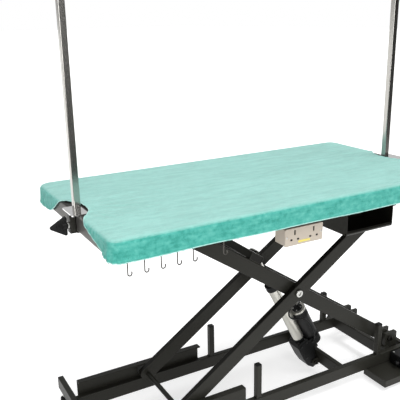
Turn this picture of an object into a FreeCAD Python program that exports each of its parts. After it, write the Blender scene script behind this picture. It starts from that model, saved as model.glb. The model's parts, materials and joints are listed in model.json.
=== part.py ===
"""Electric scissor-lift grooming table: covered top, clamped posts, under-top instrument tray.

Millimetres. X runs along the table's length, +X to the user's right; Y runs away from the user;
Z is up. The origin is on the floor, under the middle of the base. The lift is drawn part raised.
"""
import FreeCAD, Part
import math
import os

V = FreeCAD.Vector
os.makedirs("parts", exist_ok=True)

# ---- driving dimensions ----------------------------------------------------------------------
TOP_L = 1238.0          # covered top, end to end
TOP_W = 650.0           # covered top, front to back
TOP_Z = 799.0           # covered top's surface, at the drawn height
HEM_Z = 740.0           # lower edge of the cover
COVER_T = 3.2           # towelling thickness
BOARD_T = 47.0          # board with its edge profile
TRIM_T = 2.5            # edge profile wall
FIT = 0.3               # gap between pieces that are laid together

LIFT_DEG = 33.9         # arm angle above level, as drawn
ARM_HALF = 540.0        # centre pivot to end pivot
ARM_W = 50.0
ARM_T = 20.0
ARM_OVER = 25.0         # tube past its end pivot
OUTER_Y = 119.0         # inner face of the outer arms
INNER_Y = 95.0          # inner face of the inner arms
PIVOT_X = 546.0         # fixed pivots, below and above
PIVOT_Z = 116.0
PIVOT_R = 8.0
RUN = 0.05              # radial running clearance
WALL = 2.5

RAIL_W = 20.0
RAIL_Z = (42.0, 87.0)
RAIL_Y = 155.0          # middle of each rail
BASE_X = 619.0          # half of the base's length
BASE_Y = 305.0          # half of the end crossbars' length
PIVOT_BAR_X = (518.0, 538.0)  # inner crossbar beside the fixed pivots
FOOT_Y = 268.0          # levelling feet, from the middle
FOOT_H = 24.0
CHEEK_X = (524.0, 584.0)      # pivot brackets' cheeks
CHEEK_OVER = 23.0       # cheek above the pivot
BOX_X = (516.0, 598.0)  # control box
BOX_Y = (-250.0, -170.0)
BOX_SEAM_Z = 70.0
PLATE_X = (407.0, 598.5)      # outrigger plate under the control box
PLATE_Y = (-258.0, -148.0)
PLATE_Z = (16.0, 41.7)

CHANNEL_END = -129.0    # right-hand end of all four roller channels
CHANNEL_H = 59.0
CHANNEL_D = 25.0
CHANNEL_T = 4.0
LOWER_CHANNEL_Y = 166.0  # outer face of the lower channels
UPPER_CHANNEL_Y = 142.0  # outer face of the upper channels
ROLLER_R = 24.0
ROLLER_W = 18.0

PEG_X = (-75.0, 463.0)
PEG_TOP = 212.0
PEG_W = 20.0

TUBE_R = 2.5            # corner radius of the steel tubes

BEAM_AT = 210.0         # push beam's middle, along the inner arms from the centre pivot
BEAM_HALF = 26.0        # half of the push beam's width, and its height
EYE_T = 135.0           # rod eye, along the inner arms from the centre pivot
EYE_O = 46.0            # rod eye, above the inner arms' middle line
ACT_FOOT_X = 268.0      # actuator's lower pin
ACT_FOOT_Z = 50.0
ACT_TUBE = (112.0, 374.0)     # outer tube, along the actuator from its lower pin
ACT_TUBE_R = 20.0
ACT_CAP_END = 396.0
ACT_ROD_FROM = 250.0
ACT_ROD_R = 10.0
PIN_R = 5.0
LUG_Y = (31.0, 37.0)    # clevis lugs, from the middle
GEAR_HALF = 30.0        # half of the gearbox's thickness
GEAR_R = 9.0            # its outline's corners
MOTOR_SPAN = (96.0, 222.0)
MOTOR_OFF = 50.0        # motor's axis, above the actuator's
MOTOR_R = 28.0
MOTOR_RING = 8.0        # length of the motor's end ring
# gearbox outline: along the actuator from its lower pin, and towards its upper side
GEAR = [(-12, 8), (-22, -5), (-21, -15), (2, -29), (39, -33), (100, -33), (111.7, -24), (111.7, 19),
        (95.7, 19), (95.7, 45), (46, 45), (38, 22), (8, 13)]
LEAD_R = 3.0
LEAD = [(208, 0, 276), (200, -6, 291), (195, -22, 309), (180, -42, 327), (156, -56, 338), (131, -62, 332),
        (116, -63, 310), (122, -61, 286), (146, -58, 271), (175, -56, 267), (203, -54, 251),
        (225, -52, 225), (240, -50, 197), (252, -45, 169), (258, -36, 151), (262, -25, 140)]


OPEN_X = 577.0          # cover's end openings: inner edge, and the span across
OPEN_Y = (-113.0, 85.0)
EDGE_R = 7.0            # rounding of the board's upper edge
EDGE_CORNER = 22.0      # board's corners, seen from above
TRAY_X = (143.0, 332.0)
TRAY_Y = (-305.0, -170.0)
TRAY_Z0 = 659.0
TRAY_T = 2.0
TRAY_LIP = 8.0          # radius of the rolled lip
TRAY_FLANGE = 14.0
TRAY_SCREW_Y = -275.0
SOCKET_X = (-94.0, 42.0)
SOCKET_Y = (-313.0, -263.0)
SOCKET_Z0 = 675.0
SOCKET_PLATE_T = 8.0
HOOK_X0 = -576.0
HOOK_STEP = 46.0
HOOK_PLACES = (0, 1, 2, 3, 4, 6)
HOOK_R = 1.6
HOOK_BEND_Z = 704.5
HOOK_BEND_R = 5.5
HOOK_TIP = 4.0
HOOK_Y = -317.0

CLAMP_Y = -40.0
CLAMP_X = -633.0        # outer face of the left clamp's bracket
CLAMP_HALF = 14.0
JAW_Y = (-78.0, 14.0)
JAW_T = 3.4
KNOB_Z = 762.0
KNOB_DEPTH = 54.0
KNOB_HALF = 31.0
POST_X = 595.0
POST_W = 20.0
POST_TOP = 1750.0
BAR_Z = 1690.0
BAR_EYE_X = (-300.0, 0.0, 300.0)
BAR_EYE_R = 11.0

LIFT = math.radians(LIFT_DEG)
COS, SIN = math.cos(LIFT), math.sin(LIFT)
MID_X = PIVOT_X - ARM_HALF * COS
MID_Z = PIVOT_Z + ARM_HALF * SIN
FREE_X = PIVOT_X - 2 * ARM_HALF * COS
UPPER_Z = PIVOT_Z + 2 * ARM_HALF * SIN
BOARD_Z = (TOP_Z - COVER_T - FIT - BOARD_T, TOP_Z - COVER_T - FIT)
FRAME_Z = BOARD_Z[0] - FIT
EYE_X = MID_X - EYE_T * COS + EYE_O * SIN
EYE_Z = MID_Z + EYE_T * SIN + EYE_O * COS
ACT_LEN = math.hypot(EYE_X - ACT_FOOT_X, EYE_Z - ACT_FOOT_Z)
ACT_DIR = ((EYE_X - ACT_FOOT_X) / ACT_LEN, (EYE_Z - ACT_FOOT_Z) / ACT_LEN)


# ---- shape helpers ---------------------------------------------------------------------------
def save(name, *shapes):
    """One STEP for one node, holding each shape as a separate solid."""
    solids = [solid for shape in shapes for solid in shape.Solids]
    whole = solids[0] if len(solids) == 1 else Part.makeCompound(solids)
    whole.exportStep(f"parts/{name}.step")


def block(x, y, z):
    """Box between the low and high values of each axis."""
    return Part.makeBox(x[1] - x[0], y[1] - y[0], z[1] - z[0], V(x[0], y[0], z[0]))


def rounded(shape, radius, axis):
    """Fillet the edges that run along one axis, 0 for X, 1 for Y, 2 for Z."""
    def along(edge):
        if not isinstance(edge.Curve, Part.Line):
            return False
        ends = [vertex.Point for vertex in edge.Vertexes]
        span = ends[1] - ends[0]
        return abs(abs(span[axis]) - span.Length) < 1e-6
    return shape.makeFillet(radius, [edge for edge in shape.Edges if along(edge)])


def tube(x, y, z, axis, wall=2.0):
    """Rectangular tube, open at both ends, running along one axis."""
    spans = [x, y, z]
    hole = [(a + wall, b - wall) for a, b in spans]
    hole[axis] = (spans[axis][0] - 1, spans[axis][1] + 1)
    return rounded(block(*spans), TUBE_R, axis).cut(block(*hole))


def rod(start, end, radius):
    """Round bar between two points."""
    a, b = V(*start), V(*end)
    return Part.makeCylinder(radius, (b - a).Length, a, b - a)


def ring(start, end, radius, bore):
    """Round bar with a bore along it."""
    return rod(start, end, radius).cut(rod(start, end, bore))


def join(*shapes):
    whole = shapes[0]
    for shape in shapes[1:]:
        whole = whole.fuse(shape)
    return whole.removeSplitter()


def mirror_y(shape):
    return shape.mirror(V(0, 0, 0), V(0, 1, 0))


def mirror_x(shape):
    return shape.mirror(V(0, 0, 0), V(1, 0, 0))


def both_sides(shape):
    return shape, mirror_y(shape)


def four_corners(shape):
    return shape, mirror_y(shape), mirror_x(shape), mirror_x(mirror_y(shape))


def tilt(shape, degrees):
    """Turn a shape drawn about the origin, then carry it to the centre pivot."""
    turned = shape.copy()
    turned.rotate(V(0, 0, 0), V(0, 1, 0), degrees)
    turned.translate(V(MID_X, 0, MID_Z))
    return turned


def hex_head(start, direction, across, height):
    """Hexagon head or nut standing on a point."""
    radius = across / math.sqrt(3)
    turns = [k * math.pi / 3 for k in range(6)]
    spots = [V(radius * math.cos(turn), radius * math.sin(turn), 0) for turn in turns]
    face = Part.Face(Part.makePolygon(spots + [spots[0]]))
    head = face.extrude(V(0, 0, height))
    head.Placement = FreeCAD.Placement(V(*start), FreeCAD.Rotation(V(0, 0, 1), V(*direction)))
    return head


def bolt_y(x, z, y_head, y_end, radius, head_r, head_h):
    """Bolt along Y with a socket cap head at y_head and a nut at y_end."""
    way = 1 if y_end > y_head else -1
    shank = rod((x, y_head, z), (x, y_end, z), radius)
    head = rod((x, y_head - way * head_h, z), (x, y_head, z), head_r)
    head = head.makeFillet(head_h * 0.3, [edge for edge in head.Edges if edge.Closed][:2])
    socket = hex_head((x, y_head - way * (head_h + 0.01), z), (0, way, 0), head_r, head_h * 0.55)
    nut = hex_head((x, y_end, z), (0, way, 0), head_r * 1.9, head_h * 0.8)
    return join(shank, head.cut(socket), nut)


# ---- base ------------------------------------------------------------------------------------
def base():
    rail_y = (RAIL_Y - RAIL_W / 2, RAIL_Y + RAIL_W / 2)
    inner = BASE_X - RAIL_W - FIT
    save("base_rails", *both_sides(tube((-inner, inner), rail_y, RAIL_Z, 0)))
    bar = tube((-BASE_X, -BASE_X + RAIL_W), (-BASE_Y, BASE_Y), RAIL_Z, 1)
    save("end_crossbars", bar, mirror_x(bar))

    gap = rail_y[0] - FIT
    save("inner_crossbars",
         tube(PIVOT_BAR_X, (-gap, gap), RAIL_Z, 1),
         tube((ACT_FOOT_X + 16, ACT_FOOT_X + 36), (-gap, gap), RAIL_Z, 1))

    plug = block((-BASE_X + 2.2, -BASE_X + RAIL_W - 2.2), (BASE_Y - 12, BASE_Y + FIT),
                 (RAIL_Z[0] + 2.2, RAIL_Z[1] - 2.2))
    lid = rounded(block((-BASE_X, -BASE_X + RAIL_W), (BASE_Y + FIT, BASE_Y + 3), RAIL_Z), TUBE_R, 1)
    end_caps = four_corners(join(plug, lid))

    foot_x = BASE_X - RAIL_W / 2
    pad = Part.makeCone(20, 16, 14, V(foot_x, FOOT_Y, 0))
    pad = join(pad, Part.makeCylinder(16, FOOT_H - 14, V(foot_x, FOOT_Y, 14)))
    socket = Part.makeCylinder(4.0, FOOT_H, V(foot_x, FOOT_Y, 8))
    save("levelling_feet", *four_corners(pad.cut(socket)))
    stud = Part.makeCylinder(3.9, RAIL_Z[0] - FIT - 8, V(foot_x, FOOT_Y, 8))
    nut = hex_head((foot_x, FOOT_Y, FOOT_H + 6), (0, 0, 1), 13, 6)
    save("foot_studs", *four_corners(join(stud, nut)))

    channel_z = (RAIL_Z[1] + FIT, RAIL_Z[1] + FIT + CHANNEL_H - 2 * FIT)
    save("lower_channels", *both_sides(channel(-592.0, LOWER_CHANNEL_Y, channel_z)))

    peg_x, peg_y = (-PEG_W / 2, PEG_W / 2), (rail_y[0], rail_y[0] + PEG_W)
    peg = tube(peg_x, peg_y, (RAIL_Z[1] + FIT, PEG_TOP - 4), 2)
    cap = rounded(block(peg_x, peg_y, (PEG_TOP - 4, PEG_TOP)), TUBE_R, 2)
    cap = cap.makeFillet(1.6, [e for e in cap.Edges if e.BoundBox.ZMin > PEG_TOP - 0.01])
    pegs, caps = [], []
    for x in PEG_X:
        for shape, keep in ((peg, pegs), (cap, caps)):
            moved = shape.copy()
            moved.translate(V(x, 0, 0))
            keep.extend(both_sides(moved))
    save("rest_pegs", *pegs)
    save("tube_caps", *end_caps, *caps)

    save("pivot_brackets", *both_sides(pivot_bracket()))
    bolt = bolt_y(PIVOT_X, PIVOT_Z, -133, -82.9, PIVOT_R, 12, 8)
    pin_end = LUG_Y[1] + 0.1
    pin = bolt_y(ACT_FOOT_X, ACT_FOOT_Z, -pin_end, pin_end, PIN_R, 8, 6)
    save("base_pivot_bolts", bolt, mirror_y(bolt), pin)

    plate = rounded(block(PLATE_X, PLATE_Y, PLATE_Z), 3, 2)
    plate = plate.cut(block((PLATE_X[0] + 4, PLATE_X[1] - 18), (PLATE_Y[0] + 4, PLATE_Y[1] - 4),
                            (PLATE_Z[0] - 6, PLATE_Z[1] - 5)))
    save("outrigger_plate", plate.cut(Part.makeCylinder(23, 60, V(foot_x, -FOOT_Y, 0))))
    save("control_box", control_box())
    save("actuator_base_clevis", *both_sides(clevis_lug()))


def channel(x_left, outer_y, z):
    """Roller channel of the near side, open towards the middle of the table."""
    x = (x_left, CHANNEL_END)
    y = (-outer_y, -outer_y + CHANNEL_D)
    outside = block(x, y, z)
    hollow = block((x[0] - 1, x[1] + 1), (y[0] + CHANNEL_T, y[1] + 1),
                   (z[0] + CHANNEL_T, z[1] - CHANNEL_T))
    return rounded(outside, 2.0, 0).cut(hollow)


def pivot_bracket():
    """Two cheeks either side of an inner arm's lower end, standing on the inner crossbar."""
    low, beside_bar = 60.0, PIVOT_BAR_X[1] + FIT

    def cheek(y):
        plate = rounded(block(CHEEK_X, y, (low, PIVOT_Z + CHEEK_OVER)), 4, 1)
        plate = plate.cut(block((CHEEK_X[0] - 1, beside_bar), (y[0] - 1, y[1] + 1), (0, RAIL_Z[1] + FIT)))
        return plate.cut(rod((PIVOT_X, y[0] - 1, PIVOT_Z), (PIVOT_X, y[1] + 1, PIVOT_Z), PIVOT_R + RUN))
    floor = block((beside_bar, CHEEK_X[1] - 4), (-133, -83), (low, low + 6))
    return join(cheek((-133, -119)), cheek((-91, -83)), floor)


def control_box():
    x, y, z = BOX_X, BOX_Y, RAIL_Z
    shell = rounded(block(x, y, z), 5, 2)
    shell = shell.makeFillet(3, [e for e in shell.Edges if e.BoundBox.ZMin > z[1] - 0.01])
    seam = block((x[0] - 1, x[1] + 1), (y[0] - 1, y[1] + 1), (BOX_SEAM_Z, BOX_SEAM_Z + 1))
    return shell.cut(seam.cut(block((x[0] + 1, x[1] - 1), (y[0] + 1, y[1] - 1), z)))


def clevis_lug():
    """One of two lugs on the actuator crossbar's left face."""
    face = ACT_FOOT_X + 16 - FIT
    lug = block((ACT_FOOT_X, face), LUG_Y, (ACT_FOOT_Z - 13, ACT_FOOT_Z + 13))
    lug = lug.fuse(rod((ACT_FOOT_X, LUG_Y[0], ACT_FOOT_Z), (ACT_FOOT_X, LUG_Y[1], ACT_FOOT_Z), 13))
    hole = rod((ACT_FOOT_X, LUG_Y[0] - 1, ACT_FOOT_Z), (ACT_FOOT_X, LUG_Y[1] + 1, ACT_FOOT_Z), PIN_R + RUN)
    return lug.cut(hole).removeSplitter()


# ---- scissor frames --------------------------------------------------------------------------
def arm(y, bores):
    """Arm tube along X about the centre pivot; bores gives the bore radius at each of three pivots."""
    reach = ARM_HALF + ARM_OVER
    body = tube((-reach, reach), y, (-ARM_W / 2, ARM_W / 2), 0, WALL)
    body = body.common(rounded(block((-reach, reach), y, (-ARM_W / 2, ARM_W / 2)), ARM_W * 0.4, 1))
    for x, bore in zip((-ARM_HALF, 0, ARM_HALF), bores):
        body = body.fuse(rod((x, y[0], 0), (x, y[1], 0), PIVOT_R + 6))
        body = body.cut(rod((x, y[0] - 1, 0), (x, y[1] + 1, 0), bore))
    return body.removeSplitter()


def inner_frame():
    """Frame between the outer arms, hinged to the base at its lower right end."""
    near = (-INNER_Y - ARM_T, -INNER_Y)
    bolt_fit = PIVOT_R + RUN
    shape = tilt(arm(near, (PIVOT_R, PIVOT_R, bolt_fit)), LIFT_DEG)
    save("inner_arm_near", shape)
    save("inner_arm_far", mirror_y(shape))

    top = ARM_W / 2 + FIT
    beam_x, beam_z = (-BEAM_AT - BEAM_HALF, -BEAM_AT + BEAM_HALF), (top, top + BEAM_HALF)
    beam = tube(beam_x, (near[0], -near[0]), beam_z, 1, WALL)
    inside = [(beam_x[0] + 1, beam_x[1] - 1), (near[0] + 1, near[0] + 4), (beam_z[0] + 1, beam_z[1] - 1)]
    end_plates = both_sides(block(*inside))
    drain = rod((-BEAM_AT, 0, top + BEAM_HALF / 2), (-BEAM_AT, 0, top + BEAM_HALF + 1), 3)
    save("push_beam", tilt(join(beam, *end_plates).cut(drain), LIFT_DEG))

    face = -BEAM_AT + BEAM_HALF + FIT
    eye_x, eye_z = -EYE_T, EYE_O
    lugs = []
    for y in ((-19, -12), (12, 19)):
        lug = block((face, eye_x + 8), y, (top, eye_z))
        lug = lug.fuse(rod((eye_x, y[0], eye_z), (eye_x, y[1], eye_z), 13))
        lugs.append(lug.cut(rod((eye_x, y[0] - 1, eye_z), (eye_x, y[1] + 1, eye_z), 6.0)))
    save("actuator_lugs", *[tilt(lug, LIFT_DEG) for lug in lugs])

    bolt = bolt_y(MID_X, MID_Z, -OUTER_Y - ARM_T, -INNER_Y + 0.1, PIVOT_R, 13, 8)
    washer = ring((MID_X, -OUTER_Y + 0.2, MID_Z), (MID_X, -INNER_Y - ARM_T, MID_Z), 14, PIVOT_R)
    save("centre_pivot_bolts", *both_sides(join(bolt, washer)))

    roller = roller_span(UPPER_CHANNEL_Y)
    stub = rod((FREE_X, roller[0], UPPER_Z), (FREE_X, -INNER_Y, UPPER_Z), PIVOT_R)
    collar = rod((FREE_X, roller[1] + 0.4, UPPER_Z), (FREE_X, -INNER_Y - ARM_T, UPPER_Z), 12)
    save("upper_axle_stubs", *both_sides(join(stub, collar)))


def outer_frame():
    """Frame outside the inner arms, rolling at its lower left end, hinged to the top at the right."""
    near = (-OUTER_Y - ARM_T, -OUTER_Y)
    bolt_fit = PIVOT_R + RUN
    shape = tilt(arm(near, (PIVOT_R, bolt_fit, bolt_fit)), -LIFT_DEG)
    save("outer_arm_near", shape)
    save("outer_arm_far", mirror_y(shape))

    reach = -roller_span(LOWER_CHANNEL_Y)[0]
    save("lower_roller_axle", rod((FREE_X, -reach, PIVOT_Z), (FREE_X, reach, PIVOT_Z), PIVOT_R))
    inner = OUTER_Y - FIT
    save("outer_cross_tube",
         tilt(tube((ARM_HALF - 75, ARM_HALF - 45), (-inner, inner), (-15, 15), 1), -LIFT_DEG))


def roller_span(channel_y):
    """A near-side roller's reach across, just inside its channel's web."""
    outer = -channel_y + CHANNEL_T + 1.5
    return outer, outer + ROLLER_W


def rollers():
    for level, z, channel_y in (("lower", PIVOT_Z, LOWER_CHANNEL_Y), ("upper", UPPER_Z, UPPER_CHANNEL_Y)):
        y = roller_span(channel_y)
        wheel = ring((FREE_X, y[0], z), (FREE_X, y[1], z), ROLLER_R, PIVOT_R + RUN)
        wheel = wheel.makeFillet(1.5, [e for e in wheel.Edges if e.Closed and e.Curve.Radius > 20
                                       and e.BoundBox.YLength < 0.1])
        for side, shape in zip(("near", "far"), both_sides(wheel)):
            save(f"{level}_roller_{side}", shape)


# ---- actuator --------------------------------------------------------------------------------
def on_axis(along, across=0.0, y=0.0):
    """Point at a distance along the actuator from its foot, and to its upper side."""
    side = (ACT_DIR[1], -ACT_DIR[0])
    return (ACT_FOOT_X + ACT_DIR[0] * along + side[0] * across, y,
            ACT_FOOT_Z + ACT_DIR[1] * along + side[1] * across)


def gearbox():
    """Cast housing: rounded outline, a round seat for the motor and a bore for the lower pin."""
    spots = [V(*on_axis(along, across, -GEAR_HALF)) for along, across in GEAR]
    body = Part.Face(Part.makePolygon(spots + [spots[0]])).extrude(V(0, 2 * GEAR_HALF, 0))
    seat_corner = V(*on_axis(*GEAR[8], 0))

    def outer_corner(edge):
        middle = edge.BoundBox.Center
        return edge.BoundBox.YLength > GEAR_HALF and (middle - seat_corner).Length > 1
    body = body.makeFillet(4, [edge for edge in body.Edges if outer_corner(edge)])
    body = body.makeFillet(3, [edge for edge in body.Edges if edge.BoundBox.YLength < 0.1])
    end = MOTOR_SPAN[0] - FIT
    seat = rod(on_axis(58, MOTOR_OFF), on_axis(end, MOTOR_OFF), MOTOR_R + 1.5)
    seat = seat.makeFillet(5, [edge for edge in seat.Edges if edge.Closed][:1])
    return join(body, seat).cut(rod(on_axis(0, 0, -40), on_axis(0, 0, 40), PIN_R + RUN))


def actuator():
    bore = ring(on_axis(ACT_TUBE[0]), on_axis(ACT_TUBE[1]), ACT_TUBE_R, ACT_ROD_R + 4)
    save("actuator_tube", bore)
    cap = ring(on_axis(ACT_TUBE[1] + FIT), on_axis(ACT_CAP_END), ACT_TUBE_R + 2.5, ACT_ROD_R + RUN)
    save("actuator_end_cap", cap)
    housing = gearbox()
    save("gearbox_housing", housing)
    motor_lead(housing)

    can = rod(on_axis(MOTOR_SPAN[0], MOTOR_OFF), on_axis(MOTOR_SPAN[1], MOTOR_OFF), MOTOR_R)
    save("motor_can", can.makeFillet(2, [e for e in can.Edges if e.Closed]))
    rim_from, rim_to = MOTOR_SPAN[1] + FIT, MOTOR_SPAN[1] + MOTOR_RING
    save("motor_end_ring", ring(on_axis(rim_from, MOTOR_OFF), on_axis(rim_to, MOTOR_OFF), MOTOR_R + 1, 8))

    shaft = rod(on_axis(ACT_ROD_FROM), on_axis(ACT_LEN - 8), ACT_ROD_R)
    eye = rod((EYE_X, -11, EYE_Z), (EYE_X, 11, EYE_Z), 15)
    hole = rod((EYE_X, -12, EYE_Z), (EYE_X, 12, EYE_Z), 6)
    pin = rod((EYE_X, -11, EYE_Z), (EYE_X, 11, EYE_Z), 5.95)
    save("actuator_rod", join(shaft, eye).cut(hole), pin)


def lead_path(points):
    """Straight runs joined by tangent arcs, each as large as its two runs allow."""
    spots = [V(*point) for point in points]
    edges, here, radii = [], spots[0], []
    for before, corner, after in zip(spots, spots[1:], spots[2:]):
        inward, outward = corner - before, after - corner
        cut = 0.45 * min(inward.Length, outward.Length)
        half = inward.getAngle(outward) / 2
        radii.append(cut / math.tan(half))
        inward.normalize()
        outward.normalize()
        start, end = corner - inward * cut, corner + outward * cut
        across = (outward - inward).normalize()
        centre = corner + across * (radii[-1] / math.cos(half))
        edges.append(Part.LineSegment(here, start).toShape())
        edges.append(Part.Arc(start, centre - across * radii[-1], end).toShape())
        here = end
    edges.append(Part.LineSegment(here, spots[-1]).toShape())
    return Part.Wire(edges), radii


def motor_lead(housing):
    """Lead from the motor's end, in one open loop, into the side of the gearbox."""
    path, radii = lead_path(LEAD)
    print("lead radii", [round(radius) for radius in radii], "length", round(path.Length))
    circle = Part.Wire([Part.makeCircle(LEAD_R, V(*LEAD[0]), V(*LEAD[1]) - V(*LEAD[0]))])
    save("motor_lead", path.makePipeShell([circle], True, True).cut(housing))


# ---- platform --------------------------------------------------------------------------------
def platform_frame():
    top = FRAME_Z
    side_y = (-RAIL_Y - RAIL_W / 2, -RAIL_Y + RAIL_W / 2)
    member = tube((CHANNEL_END + FIT, 569.7), side_y, (top - CHANNEL_H, top), 0)
    hole = rod((PIVOT_X, side_y[0] - 1, UPPER_Z), (PIVOT_X, side_y[1] + 1, UPPER_Z), PIVOT_R)
    save("side_members", *both_sides(member.cut(hole)))
    save("upper_channels", *both_sides(channel(-569.7, UPPER_CHANNEL_Y, (top - CHANNEL_H, top))))

    edge_y = 285.0
    end = tube((-590, -570), (-edge_y + 20 + FIT, edge_y - 20 - FIT), (top - 20, top), 1)
    long_side = tube((-612, 612), (-edge_y, -edge_y + 20), (top - 20, top), 0)
    save("underframe_tubes", end, mirror_x(end), *both_sides(long_side))

    bolt = bolt_y(PIVOT_X, UPPER_Z, side_y[0], -OUTER_Y + 0.2, PIVOT_R, 12, 7)
    washer_y = (side_y[1] + FIT, -OUTER_Y - ARM_T - 0.2)
    washer = ring((PIVOT_X, washer_y[0], UPPER_Z), (PIVOT_X, washer_y[1], UPPER_Z), 13, PIVOT_R)
    save("top_pivot_bolts", *both_sides(join(bolt, washer)))


def rounded_slab(half_x, half_y, z, radius):
    return rounded(block((-half_x, half_x), (-half_y, half_y), z), radius, 2)


def platform_top():
    outer_x = TOP_L / 2 - COVER_T - FIT
    outer_y = TOP_W / 2 - COVER_T - FIT
    radius = EDGE_CORNER
    envelope = rounded_slab(outer_x, outer_y, BOARD_Z, radius)
    upper = [e for e in envelope.Edges if e.BoundBox.ZMin > BOARD_Z[1] - 0.01]
    envelope = envelope.makeFillet(EDGE_R, upper)
    core_z = (BOARD_Z[0] - 1, BOARD_Z[1] + 1)
    trim = envelope.cut(rounded_slab(outer_x - TRIM_T, outer_y - TRIM_T, core_z, radius - TRIM_T))
    for k in range(8):
        z = BOARD_Z[0] + 5 + k * 4.6
        groove = rounded_slab(outer_x + 1, outer_y + 1, (z, z + 1.6), radius)
        kept = rounded_slab(outer_x - 0.8, outer_y - 0.8, (z - 1, z + 3), radius - 0.8)
        trim = trim.cut(groove.cut(kept))
    save("edge_trim", trim)
    inset = TRIM_T + FIT
    board = rounded_slab(outer_x - inset, outer_y - inset, BOARD_Z, radius - TRIM_T)
    save("table_board", board.common(envelope))

    skin = rounded_slab(TOP_L / 2, TOP_W / 2, (HEM_Z, TOP_Z), radius + COVER_T)
    skin = skin.makeFillet(9, [e for e in skin.Edges if e.BoundBox.ZMin > TOP_Z - 0.01])
    inside = rounded_slab(outer_x + FIT, outer_y + FIT, (HEM_Z - 1, TOP_Z - COVER_T), radius + FIT)
    skin = skin.cut(inside)
    for side in (-1, 1):
        skin = skin.cut(scallop(side))
    save("table_cover", skin)


def scallop(side):
    """Opening in the cover at one end, where the post's clamp grips the board."""
    spots = [(-155, HEM_Z - 1), (OPEN_Y[0], TOP_Z + 1), (OPEN_Y[1], TOP_Z + 1), (198, HEM_Z - 1)]
    x_in = side * (TOP_L / 2 - 12)
    wire = Part.makePolygon([V(x_in, y, z) for y, z in spots + [spots[0]]])
    through = Part.Face(wire).extrude(V(side * 30, 0, 0))
    x_span = sorted((side * OPEN_X, side * (TOP_L / 2 + 40)))
    above = rounded(block(x_span, OPEN_Y, (TOP_Z - 12, TOP_Z + 2)), 34, 2)
    return through.fuse(above)


def instrument_tray():
    """Open-fronted tray: floor, back and two sides, a rolled front lip and two screw flanges."""
    top = FRAME_Z - 20 - FIT
    x, y, t, lip_r = TRAY_X, TRAY_Y, TRAY_T, TRAY_LIP
    across = (x[0] - 1, x[1] + 1)
    shell = rounded(block(x, y, (TRAY_Z0, top)), 4, 1)
    hollow = rounded(block((x[0] + t, x[1] - t), (y[0] - 1, y[1] - t), (TRAY_Z0 + t, top + 9)), 3, 1)
    shell = shell.cut(hollow)
    lip_y, lip_z = y[0] + lip_r, TRAY_Z0 + lip_r
    lip = ring((x[0] + 1, lip_y, lip_z), (x[1] - 1, lip_y, lip_z), lip_r, lip_r - t)
    lip = lip.cut(block(across, (lip_y, lip_y + 12), (TRAY_Z0 - 1, top)))
    lip = lip.cut(block(across, (y[0] - 1, lip_y + 12), (lip_z + 6, top)))
    shell = shell.cut(block(across, (y[0] - 1, lip_y), (TRAY_Z0 - 1, lip_z)))
    flange_z = (top - t, top)
    left_flange = block((x[0] - TRAY_FLANGE, x[0] + t), y, flange_z)
    right_flange = block((x[1] - t, x[1] + TRAY_FLANGE), y, flange_z)
    tray = join(shell, lip, left_flange, right_flange)
    screws = []
    for sx in (x[0] - TRAY_FLANGE / 2, x[1] + TRAY_FLANGE / 2):
        hole = rod((sx, TRAY_SCREW_Y, top - 9), (sx, TRAY_SCREW_Y, top + 1), 2.6)
        tray = tray.cut(hole)
        head = rod((sx, TRAY_SCREW_Y, top - t - 3), (sx, TRAY_SCREW_Y, top - t), 4.6)
        screw = join(rod((sx, TRAY_SCREW_Y, top - t), (sx, TRAY_SCREW_Y, top - 0.2), 2.5), head)
        screws.append(screw.makeFillet(1.2, [e for e in screw.Edges if e.BoundBox.ZMax < top - t - 2.9]))
    save("instrument_tray", tray)
    save("tray_screws", *screws)


def sockets():
    """Two-gang socket box under the front edge; each outlet has one upright and two level slots."""
    x, y = SOCKET_X, SOCKET_Y
    z = (SOCKET_Z0, FRAME_Z - 20 - FIT)
    front = y[0] + SOCKET_PLATE_T
    case = rounded(block((x[0] + 1.5, x[1] - 1.5), (front + 0.1, y[1]), (z[0] + 1.5, z[1])), 3, 1)
    save("socket_box", case)
    plate = rounded(block(x, (y[0], front), z), 3.5, 1)
    plate = plate.makeFillet(1.5, [e for e in plate.Edges if e.BoundBox.YMax < y[0] + 0.01])
    slots = ((0, 15, 5.5, 15), (-12, -6, 8, 6), (12, -6, 8, 6))
    for cx in (x[0] + 34, x[1] - 34):
        cz = z[0] + 24
        for sx, sz, w, h in slots:
            left, low = cx + sx - w / 2, cz + sz - h / 2
            plate = plate.cut(block((left, left + w), (y[0] - 1, y[0] + 5), (low, low + h)))
    save("socket_plate", plate)


def edge_hooks():
    """Cup hooks under the front edge: straight shank, half-round bend and a short raised tip."""
    y, top, bend_z, bend_r = HOOK_Y, FRAME_Z - FIT, HOOK_BEND_Z, HOOK_BEND_R
    hooks = []
    for k in HOOK_PLACES:
        x = HOOK_X0 + HOOK_STEP * k
        x_tip = x + 2 * bend_r
        line = Part.LineSegment(V(x, y, top), V(x, y, bend_z)).toShape()
        arc = Part.Arc(V(x, y, bend_z), V(x + bend_r, y, bend_z - bend_r), V(x_tip, y, bend_z)).toShape()
        tip = Part.LineSegment(V(x_tip, y, bend_z), V(x_tip, y, bend_z + HOOK_TIP)).toShape()
        path = Part.Wire([line, arc, tip])
        circle = Part.Wire([Part.makeCircle(HOOK_R, V(x, y, top), V(0, 0, 1))])
        wire = path.makePipeShell([circle], True, True)
        ball = Part.makeSphere(HOOK_R, V(x_tip, y, bend_z + HOOK_TIP))
        collar = Part.makeCylinder(4.5, 2, V(x, y, top - 2))
        hooks.append(join(wire, ball, collar))
    save("edge_hooks", *hooks)


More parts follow.
